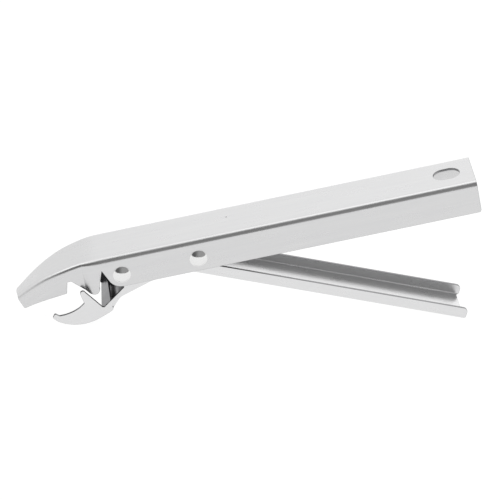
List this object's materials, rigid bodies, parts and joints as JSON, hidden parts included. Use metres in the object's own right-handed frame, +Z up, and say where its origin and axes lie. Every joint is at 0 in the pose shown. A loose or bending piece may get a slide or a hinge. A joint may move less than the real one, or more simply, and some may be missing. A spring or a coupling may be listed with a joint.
{
  "type": "pan gripper",
  "caption": "Pressed steel pan gripper: a channel handle with a gripping nose, a hooked claw and a sprung squeeze lever.",
  "frame": {"origin": "middle of the tool's footprint, on the surface that it stands on", "axes": "+Z up, +X from the nose towards the handle's end, +Y across the tool, away from the hook's side; the jaw is open"},
  "size_m": [0.197, 0.0276, 0.0682],
  "materials": {
    "satin_steel": "satin, brushed lengthwise",
    "polished_rivet": "polished",
    "turned_steel": "turned",
    "spring_wire": "drawn wire"
  },
  "bodies": {
    "handle": {"upper_handle": "satin_steel", "front_rivet": "polished_rivet", "rear_rivet": "polished_rivet", "front_sleeve": "turned_steel", "rear_sleeve": "turned_steel", "return_spring": "spring_wire"},
    "claw": {"claw": "satin_steel"},
    "lever": {"lower_lever": "satin_steel"}
  },
  "joints": [
    {"name": "lever_pivot", "type": "hinge", "parent": "handle", "child": "lever", "pos_m": [-0.02201, 0, 0.03261], "axis": [0, -1, 0], "range_deg": [0, 21], "stiffness_Nm_per_rad": 0.45, "springref_deg": -28.65, "deforming": ["return_spring"]},
    {"name": "claw_pivot", "type": "hinge", "parent": "handle", "child": "claw", "pos_m": [-0.05446, 0, 0.02517], "axis": [0, 1, 0], "range_deg": [0, 10.3]}
  ],
  "couplings": [
    {"joint": "claw_pivot", "follows": "lever_pivot", "ratio": 0.49}
  ]
}
